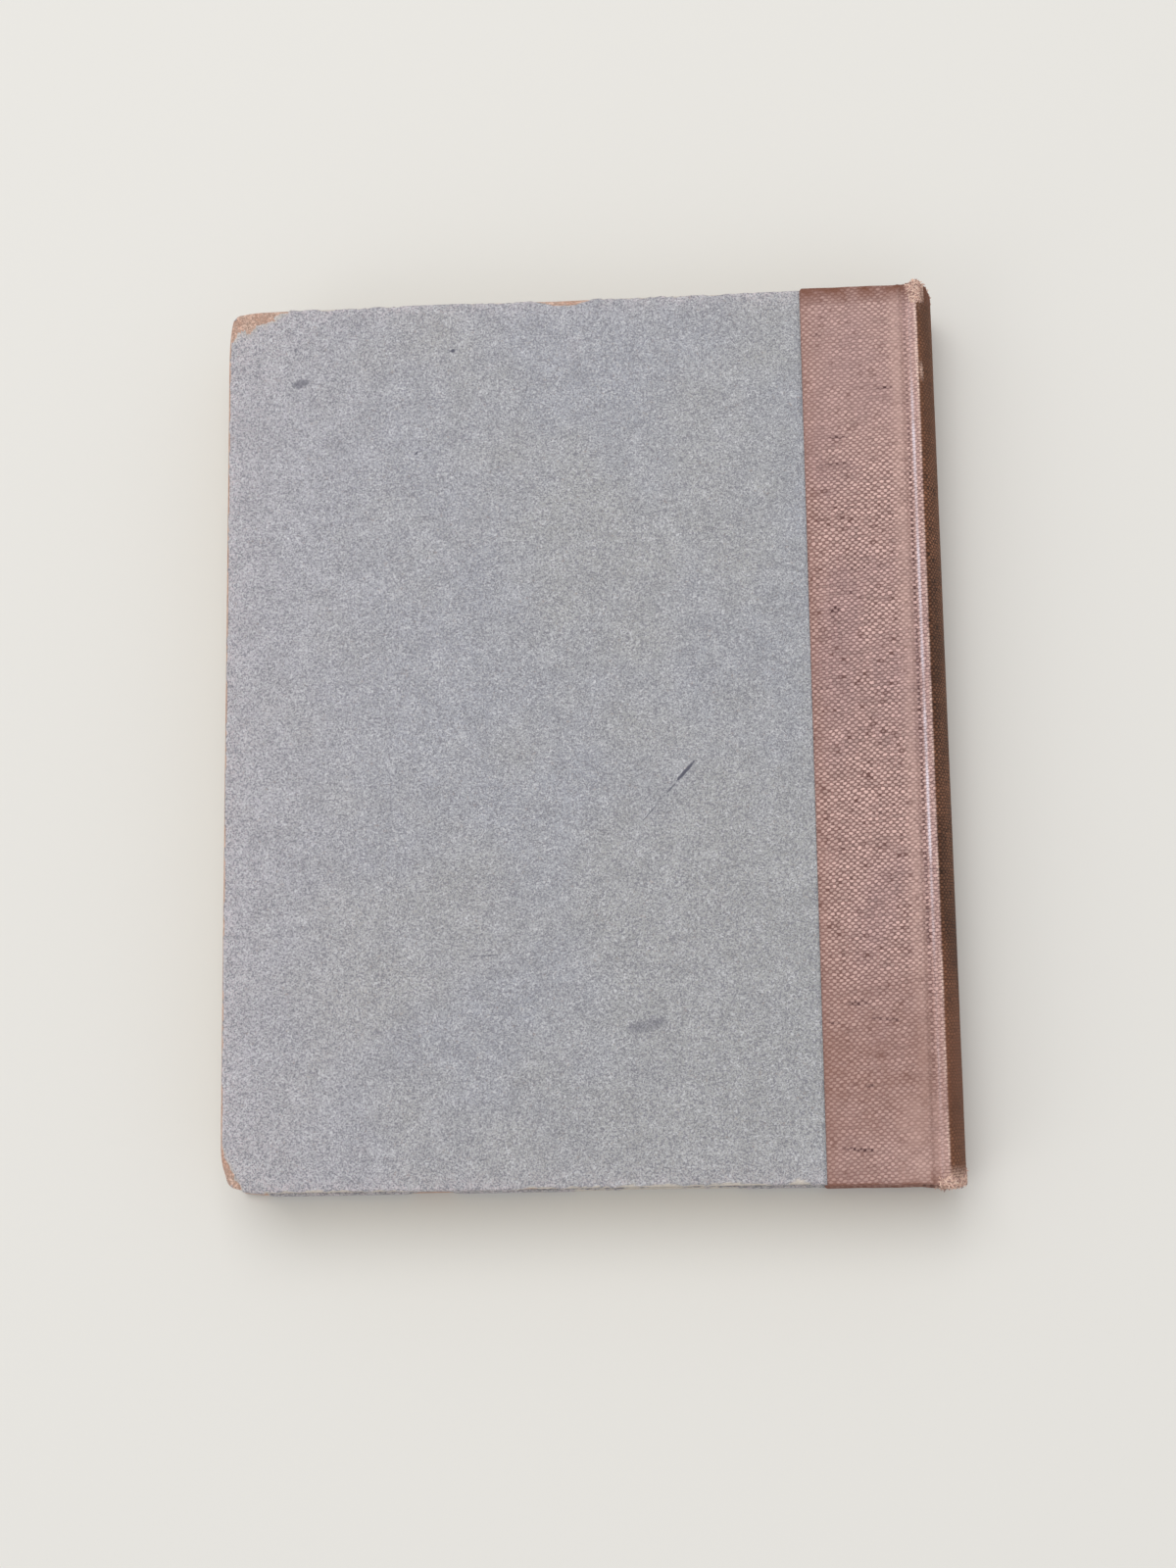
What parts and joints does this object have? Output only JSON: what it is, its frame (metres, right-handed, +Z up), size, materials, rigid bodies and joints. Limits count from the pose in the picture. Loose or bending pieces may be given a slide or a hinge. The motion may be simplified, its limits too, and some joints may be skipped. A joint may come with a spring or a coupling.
{
  "type": "hardback book",
  "caption": "Quarter-bound hardback book with cloth spine, paper-covered boards that open on their joints, and a rounded and backed page block.",
  "frame": {"origin": "centre of the bounding box on the surface the closed book lies on, under its front cover", "axes": "+X towards the spine, +Y towards the head of the pages, +Z up, out of the back cover"},
  "size_m": [0.1782, 0.222, 0.025],
  "materials": {
    "page_edges": "matt, slightly toned leaf edges",
    "endpaper": "matt, toned white",
    "gauze": "open cotton gauze",
    "kraft": "matt brown paper",
    "card": "matt grey-brown card",
    "cloth": "faded reddish brown canvas, worn",
    "strawboard": "matt straw board, tan where bare",
    "side_paper": "matt pale blue-grey paper, rubbed"
  },
  "bodies": {
    "text_block": {"page_block": "page_edges", "front_flyleaf": "endpaper", "back_flyleaf": "endpaper", "mull": "gauze", "spine_lining": "kraft", "spine_inlay": "card", "spine_cloth": "cloth"},
    "back_cover": {"back_board": "strawboard", "back_side_paper": "side_paper", "back_cloth": "cloth", "back_mull_wing": "gauze", "back_pastedown": "endpaper"},
    "front_cover": {"front_board": "strawboard", "front_side_paper": "side_paper", "front_cloth": "cloth", "front_mull_wing": "gauze", "front_pastedown": "endpaper"}
  },
  "joints": [
    {"name": "back_cover_hinge", "type": "hinge", "parent": "text_block", "child": "back_cover", "pos_m": [0.08165, 0, 0.02482], "axis": [0, 1, 0], "range_deg": [0, 180]},
    {"name": "front_cover_hinge", "type": "hinge", "parent": "text_block", "child": "front_cover", "pos_m": [0.08165, 0, 0.00018], "axis": [0, -1, 0], "range_deg": [0, 180]}
  ]
}
